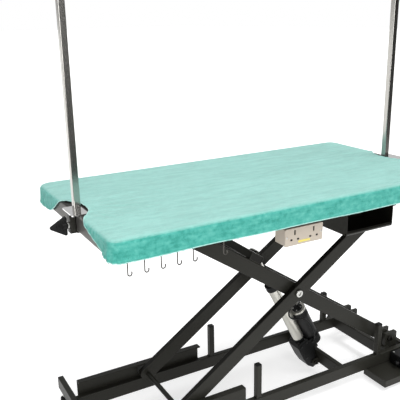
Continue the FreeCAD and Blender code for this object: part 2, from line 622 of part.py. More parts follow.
# ---- posts, clamps and overhead bar ----------------------------------------------------------
def clamp_parts():
    """Left-hand clamp: bracket, bright jaw plate, screw, wing knob and the bracket's set screw."""
    face = -TOP_L / 2 + COVER_T + FIT
    jaw_z = BOARD_Z[1] + FIT
    under = BOARD_Z[0] - FIT
    y = (CLAMP_Y - CLAMP_HALF, CLAMP_Y + CLAMP_HALF)
    back = rounded(block((CLAMP_X, face - FIT), y, (under - 7, jaw_z - FIT)), 3, 2)
    foot = block((CLAMP_X + 4, -593), (y[0] + 2, y[1] - 2), (under - 7, under))
    bracket = join(back, foot)
    bracket = bracket.cut(rod((CLAMP_X - 1, CLAMP_Y, KNOB_Z), (face + 1, CLAMP_Y, KNOB_Z), 5 + RUN))
    jaw = rounded(block((CLAMP_X, -584), JAW_Y, (jaw_z, jaw_z + JAW_T)), 6, 2)
    screw = rod((CLAMP_X - 15, CLAMP_Y, KNOB_Z), (face - FIT, CLAMP_Y, KNOB_Z), 5)
    washer = ring((CLAMP_X - 4, CLAMP_Y, KNOB_Z), (CLAMP_X - FIT, CLAMP_Y, KNOB_Z), 10, 5)
    set_screw = rod((-607, CLAMP_Y, under - 12), (-607, CLAMP_Y, under - 7 - 0.05), 5)
    return bracket, jaw, join(screw, washer), wing_knob(CLAMP_X - 4 - FIT), set_screw


def wing_knob(x_base):
    """Flat three-cornered wing with a hub, in the plane of the screw's axis."""
    depth, half, thick = KNOB_DEPTH, KNOB_HALF, 11.0
    hub = rod((x_base - 14, CLAMP_Y, KNOB_Z), (x_base, CLAMP_Y, KNOB_Z), 9)
    spots = [(x_base - 1, half), (x_base - 1, -half), (x_base - depth, 0)]
    corners = [V(x, 0, KNOB_Z + rise) for x, rise in spots]
    outline = Part.makePolygon(corners + [corners[0]])
    wing = Part.Face(outline).extrude(V(0, thick, 0))
    wing.translate(V(0, CLAMP_Y - thick / 2, 0))
    wing = wing.makeFillet(5, [e for e in wing.Edges if e.BoundBox.YLength > thick - 1])
    wing = wing.makeFillet(2.5, [e for e in wing.Edges if e.BoundBox.YLength < 0.1])
    whole = join(wing, hub)
    return whole.cut(rod((x_base - 12, CLAMP_Y, KNOB_Z), (x_base + 1, CLAMP_Y, KNOB_Z), 5))


def posts_and_clamps():
    bracket, jaw, screw, knob, set_screw = clamp_parts()
    save("clamp_brackets", bracket, mirror_x(bracket), set_screw, mirror_x(set_screw))
    save("clamp_jaws", jaw, mirror_x(jaw))
    save("clamp_screw_left", screw)
    save("clamp_screw_right", mirror_x(screw))
    save("clamp_knob_left", knob)
    save("clamp_knob_right", mirror_x(knob))

    half = POST_W / 2
    foot_z = BOARD_Z[1] + FIT + JAW_T + 0.1
    post = tube((-POST_X - half, -POST_X + half), (-half, half), (foot_z, POST_TOP), 2, 1.5)
    save("post_left", post)
    save("post_right", mirror_x(post))
    cap = block((-POST_X - half, -POST_X + half), (-half, half), (POST_TOP + 0.1, POST_TOP + 4))
    cap = rounded(cap, TUBE_R, 2)
    save("post_caps", cap, mirror_x(cap))


def overhead_bar():
    half = POST_W / 2
    inner = half + FIT
    outer = inner + 3
    z = (BAR_Z - 32, BAR_Z + 32)
    sleeve = rounded(block((-POST_X - outer, -POST_X + outer), (-outer, outer), z), 3, 2)
    sleeve = sleeve.cut(block((-POST_X - inner, -POST_X + inner), (-inner, inner), (z[0] - 1, z[1] + 1)))
    nut_x = (-POST_X - outer - 8, -POST_X - outer)
    boss = rod((nut_x[0], 0, BAR_Z), (nut_x[1] + 1, 0, BAR_Z), 9)
    sleeve = join(sleeve, boss)
    sleeve = sleeve.cut(rod((nut_x[0] - 1, 0, BAR_Z), (-POST_X - inner + 1, 0, BAR_Z), 4 + RUN))
    save("bar_sleeves", sleeve, mirror_x(sleeve))
    end = POST_X - outer - 0.1
    save("overhead_bar", tube((-end, end), (-half, half), (BAR_Z - half, BAR_Z + half), 0, 1.5))

    for side, turn in (("left", None), ("right", mirror_x)):
        knob = star_knob(nut_x[0] - FIT)
        stem = rod((nut_x[0] - 10, 0, BAR_Z), (-POST_X - inner + 0.1, 0, BAR_Z), 4)
        whole = join(knob, stem)
        save(f"bar_knob_{side}", turn(whole) if turn else whole)

    eyes = []
    for x in BAR_EYE_X:
        loop = Part.makeTorus(BAR_EYE_R, 2.5, V(x, 0, BAR_Z - half - BAR_EYE_R - 3), V(1, 0, 0))
        foot = Part.makeCylinder(5, 5, V(x, 0, BAR_Z - half - 5.1))
        eyes.append(join(loop, foot))
    save("bar_eyes", *eyes)


def star_knob(x_base):
    """Five-lobed hand knob, axis along X."""
    knob = rod((x_base - 16, 0, BAR_Z), (x_base, 0, BAR_Z), 15)
    for k in range(5):
        angle = 2 * math.pi * k / 5
        y, z = 19 * math.cos(angle), BAR_Z + 19 * math.sin(angle)
        knob = knob.cut(rod((x_base - 17, y, z), (x_base + 1, y, z), 7))
    return knob


base()
inner_frame()
outer_frame()
rollers()
actuator()
platform_frame()
platform_top()
instrument_tray()
sockets()
edge_hooks()
posts_and_clamps()
overhead_bar()
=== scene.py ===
"""Looks for the electric scissor-lift grooming table: cover, finishes, welds and small fittings."""
import json
import math
import random

import bmesh
import bpy
import numpy as np
from mathutils import Matrix, Vector, noise


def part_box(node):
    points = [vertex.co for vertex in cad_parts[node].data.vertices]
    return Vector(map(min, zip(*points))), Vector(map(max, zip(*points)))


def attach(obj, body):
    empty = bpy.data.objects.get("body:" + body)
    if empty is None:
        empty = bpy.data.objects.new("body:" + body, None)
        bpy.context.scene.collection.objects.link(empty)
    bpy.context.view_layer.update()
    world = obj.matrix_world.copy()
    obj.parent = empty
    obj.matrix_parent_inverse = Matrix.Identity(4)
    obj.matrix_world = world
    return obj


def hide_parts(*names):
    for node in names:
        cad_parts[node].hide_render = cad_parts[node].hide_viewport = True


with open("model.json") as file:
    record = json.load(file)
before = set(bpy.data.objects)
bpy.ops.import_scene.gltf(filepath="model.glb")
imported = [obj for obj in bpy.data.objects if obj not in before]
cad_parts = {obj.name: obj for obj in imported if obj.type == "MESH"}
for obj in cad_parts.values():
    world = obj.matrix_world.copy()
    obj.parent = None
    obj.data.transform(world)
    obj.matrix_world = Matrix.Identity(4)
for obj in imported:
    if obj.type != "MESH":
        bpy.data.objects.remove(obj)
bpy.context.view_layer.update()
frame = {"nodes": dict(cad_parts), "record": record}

MM = 0.001              # sizes below are in millimetres, and scenes are in metres
rng = random.Random(11)
NODES = frame["nodes"]
JOINTS = {joint["name"]: joint for joint in frame["record"]["behaviour"]["joints"]}


# ---- camera and light ------------------------------------------------------------------------
CAMERA_PLACE = (-1.0937, -1.6341, 1.3093)
CAMERA_YAW, CAMERA_PITCH, CAMERA_ROLL = 28.82, 16.57, -1.16
CAMERA_LENS = 55.48
FLOOR_FRONT = -2.2      # upright bright metal mirrors the dark room beyond this edge
FLOOR_SIZE = 80
FLOOR_GREY = (0.60, 0.60, 0.60)
FLOOR_GLOW = 0.66       # keeps the shadows on the floor pale


def camera():
    """Stands at the front left, a little above the table top."""
    place = Vector(CAMERA_PLACE)
    yaw, pitch, roll = (math.radians(turn) for turn in (CAMERA_YAW, CAMERA_PITCH, CAMERA_ROLL))
    ahead = Vector((math.sin(yaw) * math.cos(pitch), math.cos(yaw) * math.cos(pitch), -math.sin(pitch)))
    level = Vector((math.cos(yaw), -math.sin(yaw), 0))
    above = level.cross(ahead)
    right = level * math.cos(roll) + above * math.sin(roll)
    up = above * math.cos(roll) - level * math.sin(roll)
    data = bpy.data.cameras.new("camera")
    data.lens = CAMERA_LENS
    data.sensor_width = 36
    view = bpy.data.objects.new("camera", data)
    view.matrix_world = Matrix.Translation(place) @ Matrix((right, up, -ahead)).transposed().to_4x4()
    bpy.context.collection.objects.link(view)
    bpy.context.scene.camera = view


def area_light(name, place, target, size, power):
    data = bpy.data.lights.new(name, "AREA")
    data.shape = "RECTANGLE"
    data.size, data.size_y = size
    data.energy = power
    lamp = bpy.data.objects.new(name, data)
    lamp.location = place
    lamp.rotation_euler = (Vector(target) - Vector(place)).to_track_quat("-Z", "Y").to_euler()
    bpy.context.collection.objects.link(lamp)


def sun(name, direction, spread, power):
    data = bpy.data.lights.new(name, "SUN")
    data.energy = power
    data.angle = math.radians(spread)
    lamp = bpy.data.objects.new(name, data)
    lamp.rotation_euler = Vector(direction).to_track_quat("-Z", "Y").to_euler()
    bpy.context.collection.objects.link(lamp)


def surroundings():
    """White room that the object sees as bright above and behind, and dark in front."""
    world = bpy.data.worlds.new("studio")
    world.use_nodes = True
    tree = world.node_tree
    background = tree.nodes["Background"]
    seen = node(tree, "ShaderNodeSeparateXYZ")
    tree.links.new(node(tree, "ShaderNodeTexCoord").outputs["Generated"], seen.inputs["Vector"])
    back = spread(tree, seen.outputs["Y"], (-0.15, 0.40), (0.05, 0.60))
    above = spread(tree, seen.outputs["Z"], (0.35, 0.80), (0.0, 0.60))
    lit = node(tree, "ShaderNodeMath", operation="MAXIMUM")
    tree.links.new(back, lit.inputs[0])
    tree.links.new(above, lit.inputs[1])
    shown = node(tree, "ShaderNodeMath", operation="MAXIMUM")
    tree.links.new(lit.outputs["Value"], shown.inputs[0])
    tree.links.new(node(tree, "ShaderNodeLightPath").outputs["Is Camera Ray"], shown.inputs[1])
    tree.links.new(shown.outputs["Value"], background.inputs["Strength"])
    background.inputs["Color"].default_value = (1, 1, 1, 1)
    bpy.context.scene.world = world


def studio():
    surroundings()
    sun("overhead", (-0.20, 0.22, -1.0), 40, 2.6)
    area_light("front", (-1.1, -3.8, 1.7), (0, 0, 0.6), (2.4, 2.2), 84)
    area_light("left_soft", (-3.4, -0.4, 1.2), (0, 0, 0.7), (1.4, 1.8), 3)

    bpy.ops.mesh.primitive_plane_add(size=FLOOR_SIZE, location=(0, FLOOR_SIZE / 2 + FLOOR_FRONT, -0.0005))
    floor = bpy.context.object
    floor.name = "studio_floor"
    pale = finish("studio_floor", FLOOR_GREY, rough=0.9, mottle=0.01, mottle_scale=2, spec=0.1)
    shader = pale.node_tree.nodes["Principled BSDF"]
    shader.inputs["Emission Color"].default_value = (1, 1, 1, 1)
    shader.inputs["Emission Strength"].default_value = FLOOR_GLOW
    floor.data.materials.append(pale)
    view = bpy.context.scene.view_settings
    view.view_transform = "Standard"
    view.exposure = 0.0


# ---- materials -------------------------------------------------------------------------------
def node(tree, kind, **values):
    made = tree.nodes.new(kind)
    for key, value in values.items():
        setattr(made, key, value)
    return made


def noise_node(tree, coords, scale, detail=3.0, rough=0.55):
    made = node(tree, "ShaderNodeTexNoise")
    made.inputs["Scale"].default_value = scale
    made.inputs["Detail"].default_value = detail
    made.inputs["Roughness"].default_value = rough
    tree.links.new(coords, made.inputs["Vector"])
    return made.outputs["Fac"]


def stretched(tree, coords, scale):
    mapping = node(tree, "ShaderNodeMapping")
    mapping.inputs["Scale"].default_value = scale
    tree.links.new(coords, mapping.inputs["Vector"])
    return mapping.outputs["Vector"]


def ramp(tree, factor, stops):
    made = node(tree, "ShaderNodeValToRGB")
    elements = made.color_ramp.elements
    while len(elements) < len(stops):
        elements.new(0.5)
    for element, (place, colour) in zip(elements, stops):
        element.position = place
        element.color = (*colour, 1)
    tree.links.new(factor, made.inputs["Fac"])
    return made.outputs["Color"]


def remap(tree, factor, low, high):
    made = node(tree, "ShaderNodeMapRange")
    made.inputs["To Min"].default_value = low
    made.inputs["To Max"].default_value = high
    tree.links.new(factor, made.inputs["Value"])
    return made.outputs["Result"]


def spread(tree, factor, source, target):
    """Map one range of values smoothly onto another, clamped."""
    made = node(tree, "ShaderNodeMapRange", interpolation_type="SMOOTHSTEP")
    for socket, value in zip(("From Min", "From Max", "To Min", "To Max"), (*source, *target)):
        made.inputs[socket].default_value = value
    tree.links.new(factor, made.inputs["Value"])
    return made.outputs["Result"]


def shade(colour, gain):
    return tuple(min(1.0, part * gain) for part in colour)


def finish(name, colour, rough=0.5, metal=0.0, mottle=0.1, mottle_scale=9.0, grain=(1, 1, 1),
           grain_scale=260.0, bump=0.08, bump_mm=0.05, coat=0.0, rough_swing=0.08, wear=None, spec=0.5):
    """Surface with slow colour mottling, fine grain, uneven gloss and, where asked, wear on its edges."""
    made = bpy.data.materials.new(name)
    made.use_nodes = True
    tree = made.node_tree
    shader = tree.nodes["Principled BSDF"]
    coords = node(tree, "ShaderNodeTexCoord").outputs["Object"]
    slow = noise_node(tree, coords, mottle_scale)
    fine = noise_node(tree, stretched(tree, coords, grain), grain_scale, detail=4.0)
    tone = ramp(tree, slow, [(0.25, shade(colour, 1 - mottle)), (0.75, shade(colour, 1 + mottle))])
    if wear:
        edge = node(tree, "ShaderNodeNewGeometry").outputs["Pointiness"]
        mask = ramp(tree, edge, [(0.53, (0, 0, 0)), (0.60, (1, 1, 1))])
        mix = node(tree, "ShaderNodeMix", data_type="RGBA")
        tree.links.new(mask, mix.inputs["Factor"])
        tree.links.new(tone, mix.inputs["A"])
        mix.inputs["B"].default_value = (*wear, 1)
        tone = mix.outputs["Result"]
    tree.links.new(tone, shader.inputs["Base Color"])
    tree.links.new(remap(tree, fine, rough - rough_swing, rough + rough_swing), shader.inputs["Roughness"])
    shader.inputs["Metallic"].default_value = metal
    shader.inputs["Specular IOR Level"].default_value = spec
    shader.inputs["Coat Weight"].default_value = coat
    shader.inputs["Coat Roughness"].default_value = 0.25
    relief = node(tree, "ShaderNodeBump")
    relief.inputs["Strength"].default_value = bump
    relief.inputs["Distance"].default_value = bump_mm * MM
    tree.links.new(fine, relief.inputs["Height"])
    tree.links.new(relief.outputs["Normal"], shader.inputs["Normal"])
    return made


def terry(name, deep, colour, pale):
    """Cotton towelling: nap in streaks and small patches, a pale sheen, and a paler colour painted where
    it faces up, standing in for the light from above.
    """
    made = bpy.data.materials.new(name)
    made.use_nodes = True
    tree = made.node_tree
    shader = tree.nodes["Principled BSDF"]
    coords = node(tree, "ShaderNodeTexCoord").outputs["Object"]
    broad = noise_node(tree, coords, 6.0, detail=3.0)
    streaks = noise_node(tree, stretched(tree, coords, (0.22, 1.0, 0.8)), 95.0, detail=4.0, rough=0.6)
    blots = noise_node(tree, coords, 62.0, detail=4.0, rough=0.62)
    nap = noise_node(tree, coords, 620.0, detail=3.0, rough=0.7)
    loops = node(tree, "ShaderNodeTexVoronoi", feature="F1")
    loops.inputs["Scale"].default_value = 520.0
    tree.links.new(coords, loops.inputs["Vector"])
    patchy = blend_value(tree, streaks, blots, 0.5)
    uneven = blend_value(tree, patchy, broad, 0.22)
    tone = ramp(tree, uneven, [(0.40, deep), (0.50, colour), (0.61, pale)])
    # Painted light: faces that point up blend towards a paler colour, a painted stand-in for the overhead
    # light on the top.
    facing = node(tree, "ShaderNodeSeparateXYZ")
    tree.links.new(node(tree, "ShaderNodeNewGeometry").outputs["True Normal"], facing.inputs["Vector"])
    painted_top_light_mix = node(tree, "ShaderNodeMix", data_type="RGBA")
    tree.links.new(spread(tree, facing.outputs["Z"], (0.35, 0.95), (0.0, 0.62)), painted_top_light_mix.inputs["Factor"])
    tree.links.new(tone, painted_top_light_mix.inputs["A"])
    brushed = noise_node(tree, stretched(tree, coords, (0.16, 1.0, 1.0)), 46.0, detail=5.0, rough=0.62)
    tree.links.new(ramp(tree, brushed, [(0.36, shade(PAINTED_TOP_LIGHT, 0.90)), (0.62, shade(PAINTED_TOP_LIGHT, 1.07))]),
                   painted_top_light_mix.inputs["B"])
    tuft = ramp(tree, nap, [(0.30, (0.62, 0.74, 0.72)), (0.66, (1, 1, 1))])
    mix = node(tree, "ShaderNodeMix", data_type="RGBA", blend_type="MULTIPLY")
    mix.inputs["Factor"].default_value = 0.6
    tree.links.new(painted_top_light_mix.outputs["Result"], mix.inputs["A"])
    tree.links.new(tuft, mix.inputs["B"])
    tree.links.new(mix.outputs["Result"], shader.inputs["Base Color"])
    shader.inputs["Roughness"].default_value = 0.95
    shader.inputs["Specular IOR Level"].default_value = 0.2
    shader.inputs["Sheen Weight"].default_value = 0.35
    shader.inputs["Sheen Roughness"].default_value = 0.38
    shader.inputs["Sheen Tint"].default_value = (0.92, 0.97, 1.0, 1)
    height = node(tree, "ShaderNodeMath", operation="SUBTRACT")
    tree.links.new(nap, height.inputs[0])
    tree.links.new(loops.outputs["Distance"], height.inputs[1])
    rough = node(tree, "ShaderNodeMath", operation="MULTIPLY_ADD")
    tree.links.new(patchy, rough.inputs[0])
    rough.inputs[1].default_value = 1.6
    tree.links.new(height.outputs["Value"], rough.inputs[2])
    relief = node(tree, "ShaderNodeBump")
    relief.inputs["Strength"].default_value = 0.6
    relief.inputs["Distance"].default_value = 1.4 * MM
    tree.links.new(rough.outputs["Value"], relief.inputs["Height"])
    tree.links.new(relief.outputs["Normal"], shader.inputs["Normal"])
    return made


def blend_value(tree, first, second, share):
    """Weighted mean of two factors; share is the second's part."""
    made = node(tree, "ShaderNodeMix", data_type="FLOAT")
    made.inputs["Factor"].default_value = share
    tree.links.new(first, made.inputs["A"])
    tree.links.new(second, made.inputs["B"])
    return made.outputs["Result"]


def shade_dark_ply(name):
    """Plywood with a smooth face painted near black, a painted shade for the shadow under the cover's edge
    at the clamp openings, over visible long grain.
    """
    return finish(name, (0.022, 0.018, 0.015), rough=0.45, mottle=0.3, mottle_scale=14, grain=(0.1, 1, 4),
                  grain_scale=120, bump=0.25, spec=0.3)


STEEL = (0.0066, 0.0062, 0.0046)
TEAL_DEEP = (0.050, 0.345, 0.285)
TEAL = (0.085, 0.450, 0.380)
TEAL_PALE = (0.150, 0.550, 0.475)
# paler colour painted on the cover's upward faces: painted light from above
PAINTED_TOP_LIGHT = (0.455, 0.690, 0.650)
HEM_PALE = (0.50, 0.82, 0.76)
WORN_STEEL = (0.022, 0.0215, 0.0175)


def make_finishes():
    """The record's material slots, each with its look."""
    return {
        "black_steel": finish("black_steel", STEEL, rough=0.38, mottle=0.50, mottle_scale=7,
                              grain_scale=900, bump=0.22, bump_mm=0.12, wear=WORN_STEEL, spec=0.16),
        "rubber": finish("rubber", (0.012, 0.012, 0.012), rough=0.85, mottle=0.25, grain_scale=500,
                         bump=0.3, bump_mm=0.15, spec=0.25),
        "zinc": finish("zinc", (0.56, 0.56, 0.54), rough=0.3, metal=1.0, mottle=0.12, mottle_scale=40,
                       grain_scale=300, bump=0.1),
        "hook_wire": finish("hook_wire", (0.085, 0.080, 0.072), rough=0.36, metal=1.0, mottle=0.15,
                            mottle_scale=30),
        "stainless": finish("stainless", (0.48, 0.468, 0.44), rough=0.20, metal=1.0, mottle=0.06,
                            mottle_scale=6, grain=(1, 1, 0.02), grain_scale=1500, bump=0.12,
                            bump_mm=0.03, rough_swing=0.04),
        "chrome_plate": finish("chrome_plate", (0.80, 0.80, 0.79), rough=0.12, metal=1.0, mottle=0.04,
                               mottle_scale=20, rough_swing=0.05),
        "black_plastic": finish("black_plastic", (0.0045, 0.0048, 0.005), rough=0.45, mottle=0.2,
                                mottle_scale=20, grain_scale=1400, bump=0.3, bump_mm=0.08, spec=0.2),
        "nylon": finish("nylon", (0.075, 0.075, 0.072), rough=0.5, mottle=0.15, mottle_scale=30,
                        grain=(1, 0.1, 1)),
        "light_alloy": finish("light_alloy", (0.58, 0.57, 0.52), rough=0.33, metal=0.85, mottle=0.10,
                              mottle_scale=18, grain_scale=420),
        "dark_alloy": finish("dark_alloy", (0.020, 0.020, 0.020), rough=0.42, metal=0.3, mottle=0.15,
                             mottle_scale=20, spec=0.3),
        "ribbed_aluminium": finish("ribbed_aluminium", (0.16, 0.155, 0.145), rough=0.45, metal=0.7,
                                   mottle=0.15, mottle_scale=10, grain=(0.1, 0.1, 1), grain_scale=700),
        "plywood": shade_dark_ply("plywood"),
        "towelling": terry("towelling", TEAL_DEEP, TEAL, TEAL_PALE),
        "cream_plastic": finish("cream_plastic", (0.50, 0.435, 0.36), rough=0.35, mottle=0.04,
                                mottle_scale=12, grain_scale=700, bump=0.06, coat=0.2),
    }


# ---- mesh helpers ----------------------------------------------------------------------------
def piece(name, verts, faces, slot, body, smooth=True):
    mesh = bpy.data.meshes.new(name)
    mesh.from_pydata([tuple(v) for v in verts], [], faces)
    mesh.validate()
    for face in mesh.polygons:
        face.use_smooth = smooth
    made = bpy.data.objects.new(name, mesh)
    bpy.context.collection.objects.link(made)
    made.data.materials.append(FINISHES[slot])
    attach(made, body)
    return made


def sweep(points, radius, sides=10, closed=False, radii=None):
    """Vertices and faces of a round tube through points, with rounded ends."""
    path = [Vector(p) for p in points]
    verts, faces = [], []
    side = None
    count = len(path)
    for i, spot in enumerate(path):
        ahead = path[(i + 1) % count] if closed or i + 1 < count else spot
        behind = path[i - 1] if closed or i else spot
        along = (ahead - behind).normalized()
        if side is None:
            side = along.orthogonal().normalized()
        side = (side - along * side.dot(along)).normalized()
        up = along.cross(side)
        reach = radii[i] if radii else radius
        for k in range(sides):
            angle = 2 * math.pi * k / sides
            verts.append(spot + (side * math.cos(angle) + up * math.sin(angle)) * reach)
    rings = count if closed else count - 1
    for i in range(rings):
        for k in range(sides):
            a, b = i * sides + k, i * sides + (k + 1) % sides
            c, d = ((i + 1) % count) * sides + (k + 1) % sides, ((i + 1) % count) * sides + k
            faces.append((a, b, c, d))
    if not closed:
        faces.append(tuple(reversed(range(sides))))
        faces.append(tuple(range((count - 1) * sides, count * sides)))
    return verts, faces


def merge(parts):
    verts, faces = [], []
    for part_verts, part_faces in parts:
        start = len(verts)
        verts.extend(part_verts)
        faces.extend(tuple(start + i for i in face) for face in part_faces)
    return verts, faces


def bead(start, end, radius=1.9 * MM):
    """Weld bead: a run of small overlapping ripples."""
    a, b = Vector(start) * MM, Vector(end) * MM
    count = max(6, int((b - a).length / (1.1 * MM)))
    points, radii = [], []
    for i in range(count + 1):
        points.append(a.lerp(b, i / count))
        taper = min(1.0, 0.35 + min(i, count - i) * 0.3)
        radii.append(radius * taper * (1 + 0.16 * math.sin(i * 1.9) + rng.uniform(-0.07, 0.07)))
    return sweep(points, radius, sides=8, radii=radii)


def lathe(centre, axis, profile, sides=40):
    """Turned solid: profile holds (distance along the axis, radius) pairs in millimetres."""
    axis = Vector(axis).normalized()
    side = axis.orthogonal().normalized()
    up = axis.cross(side)
    verts, faces = [], []
    for along, radius in profile:
        for k in range(sides):
            angle = 2 * math.pi * k / sides
            ring = (side * math.cos(angle) + up * math.sin(angle)) * radius
            verts.append((Vector(centre) + axis * along + ring) * MM)
    for i in range(len(profile) - 1):
        for k in range(sides):
            a, b = i * sides + k, i * sides + (k + 1) % sides
            faces.append((a, b, b + sides, a + sides))
    faces.append(tuple(reversed(range(sides))))
    faces.append(tuple(range((len(profile) - 1) * sides, len(profile) * sides)))
    return verts, faces


# ---- towelling cover -------------------------------------------------------------------------
COVER_LOW, COVER_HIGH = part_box("table_cover")
HALF_L = (COVER_HIGH[0] - COVER_LOW[0]) / 2 / MM
HALF_W = (COVER_HIGH[1] - COVER_LOW[1]) / 2 / MM
TOP = COVER_HIGH[2] / MM
HEM = COVER_LOW[2] / MM
CORNER = 30.0           # corners' radius, seen from above
ROLL = 13.0             # radius of the turn from the skirt to the top
CLOTH = 2.2             # towelling's thickness
HEM_R = 1.5             # radius of the hem's binding
AROUND = 900            # points round the cover
SKIRT_ROWS = 34         # rows of points from the hem to the seam
TOP_ROWS = 62           # rows from the seam to the middle
SEAM = 118.0            # length of cloth from the full skirt's hem to the seam
GATHER_REACH = 62.0     # how far the gathers spread from a corner
CLAMP_Y = -14.0         # middle of a clamp's opening
# how far up the cloth its opening for a clamp pulls the hem, from the front to the back
OPENING_Y = [-312, -290, -250, -200, -150, -128, -108, -86, -60, -20, 20, 52, 80, 120, 165, 205]
OPENING_RISE = [0, 7, 20, 33, 45, 54, 66, 84, 97, 101, 100, 90, 66, 36, 12, 0]


def outline(count):
    """Points and outward normals round the cover, evenly spaced, in millimetres."""
    straight_x, straight_y = 2 * (HALF_L - CORNER), 2 * (HALF_W - CORNER)
    quarter = math.pi * CORNER / 2
    total = 2 * (straight_x + straight_y) + 4 * quarter
    runs = []
    cx, cy = HALF_L - CORNER, HALF_W - CORNER
    runs.append(("line", (-cx, -HALF_W), (1, 0), straight_x, (0, -1)))
    runs.append(("arc", (cx, -cy), -90, quarter, None))
    runs.append(("line", (HALF_L, -cy), (0, 1), straight_y, (1, 0)))
    runs.append(("arc", (cx, cy), 0, quarter, None))
    runs.append(("line", (cx, HALF_W), (-1, 0), straight_x, (0, 1)))
    runs.append(("arc", (-cx, cy), 90, quarter, None))
    runs.append(("line", (-HALF_L, cy), (0, -1), straight_y, (-1, 0)))
    runs.append(("arc", (-cx, -cy), 180, quarter, None))
    spots, normals = [], []
    for i in range(count):
        left = total * i / count
        for kind, at, way, length, normal in runs:
            if left < length:
                break
            left -= length
        if kind == "line":
            spots.append((at[0] + way[0] * left, at[1] + way[1] * left))
            normals.append(normal)
        else:
            angle = math.radians(way + 90 * left / length)
            normals.append((math.cos(angle), math.sin(angle)))
            spots.append((at[0] + CORNER * math.cos(angle), at[1] + CORNER * math.sin(angle)))
    return np.array(spots), np.array(normals), total


def lift_of_edge(spots):
    """How far up the cloth each point of the hem starts, where a clamp's opening pulls it back."""
    start = np.interp(spots[:, 1], OPENING_Y, OPENING_RISE)
    at_end = np.abs(spots[:, 0]) > HALF_L - 1
    start = np.where(at_end, start, 0.0)
    for _ in range(6):
        start = (np.roll(start, 1) + start * 2 + np.roll(start, -1)) / 4
    return start


def pull_crease(x, y):
    """Fine creases that fan out over the top from a clamp's opening, in millimetres."""
    dx, dy = abs(x) - (HALF_L - 18), y - CLAMP_Y
    away = math.hypot(dx, dy)
    ray = noise.noise(Vector((math.atan2(dy, -dx) * 7.5, away * 0.004, 6.4 + math.copysign(3, x))))
    near = math.exp(-((away - 120) / 105) ** 2)
    return 2.4 * near * (abs(ray) ** 0.8 - 0.25)


def stand_out(s, reach, begin, depth, gather, place):
    """How far the cloth stands off its neat shape; s runs round the cover and reach up the cloth."""
    soft = noise.noise(Vector((s * 0.009, reach * 0.006, 3.1)))
    folds = noise.noise(Vector((s * 0.075, reach * 0.01, 8.3)))
    gathers = 0.5 + 0.5 * math.sin(s * 0.43 + 2.5 * soft)
    out = (0.9 * soft + 0.5) * (0.3 + 0.7 * depth)
    out += gather * depth * 3.6 * gathers
    out += 1.1 * max(0.0, folds) * depth
    edge = reach - begin
    pull = math.exp(-(edge / 26.0) ** 2) * (1 if begin > 1 else 0.25)
    out += pull * 1.3 * (0.5 + 0.5 * math.sin(s * 0.21 + reach * 0.05))
    out += 0.9 * math.exp(-((edge - 4.0) / 4.0) ** 4)
    fuzz = noise.noise(place * 95.0) * 0.28 + noise.noise(place * 31.0) * 0.22
    return out + (fuzz + 0.25)


def end_fold(s, y, reach, depth):
    """Folds that slant from a clamp's opening down to the corners beside it."""
    slant = y * np.sign(CLAMP_Y - y) * 0.7 + reach
    return 9.0 * depth * (max(0.0, noise.noise(Vector((slant * 0.050, s * 0.006, 2.6)))) - 0.1)


def top_swell(place):
    """Slow swell and creases of the top."""
    swell = noise.noise(Vector((place.x * 0.55, place.y * 0.75, 1.7)))
    crease = noise.noise(Vector((place.x * 1.6, place.y * 2.3, 5.2)))
    return 0.8 * swell + 0.5 * crease ** 2 + pull_crease(place.x * 100, place.y * 100)


def cover_points():
    """Rows of points round the cover, from the hem to the middle of the top, in millimetres."""
    spots, normals, perimeter = outline(AROUND)
    begin = lift_of_edge(spots)
    straight = TOP - HEM - ROLL
    arc_length = math.pi * ROLL / 2
    full = straight + arc_length + HALF_W - ROLL
    spine = np.stack([np.clip(spots[:, 0], -(HALF_L - HALF_W), HALF_L - HALF_W), np.zeros(AROUND)], axis=1)
    step = perimeter / AROUND
    corner_near = np.minimum(np.abs(np.abs(spots[:, 0]) - HALF_L), 400) + np.minimum(
        np.abs(np.abs(spots[:, 1]) - HALF_W), 400)
    gather = np.exp(-(corner_near / GATHER_REACH) ** 2)
    at_end = np.abs(spots[:, 0]) > HALF_L - 1
    wave = np.array([noise.noise(Vector((i * step * 0.006, 0.4, 9.0))) for i in range(AROUND)])
    wave *= np.where(at_end, 0.4, 1.0) * 2.2
    rows = []
    for j in range(SKIRT_ROWS + TOP_ROWS + 1):
        if j <= SKIRT_ROWS:
            reach = begin + (SEAM - begin) * (j / SKIRT_ROWS) ** 1.15
        else:
            reach = np.full(AROUND, SEAM + (full - SEAM) * (j - SKIRT_ROWS) / TOP_ROWS)
        rows.append(reach)
    verts = np.zeros((len(rows), AROUND, 3))
    for j, reach in enumerate(rows):
        down = np.clip(straight - reach, 0, None)
        turn = np.clip((reach - straight) / ROLL, 0, math.pi / 2)
        flat = np.clip(reach - straight - arc_length, 0, None)
        inset = ROLL * (1 - np.cos(turn)) + flat
        z = TOP - ROLL + ROLL * np.sin(turn) - down
        move = (spine - spots) * (inset / HALF_W)[:, None]
        out = np.zeros(AROUND)
        skirt = np.clip(down / straight, 0, 1)
        for i in range(AROUND):
            s = i * step
            place = Vector((spots[i, 0] + move[i, 0], spots[i, 1] + move[i, 1], z[i])) * 0.01
            out[i] = stand_out(s, reach[i], begin[i], skirt[i], gather[i], place)
            if at_end[i]:
                out[i] += end_fold(s, spots[i, 1], reach[i], skirt[i])
            if turn[i] >= math.pi / 2:
                z[i] += top_swell(place)
        lean = (out * np.cos(turn))[:, None]
        verts[j, :, :2] = spots + move + normals * lean
        verts[j, :, 2] = z + out * np.sin(turn) + wave * skirt
    return verts


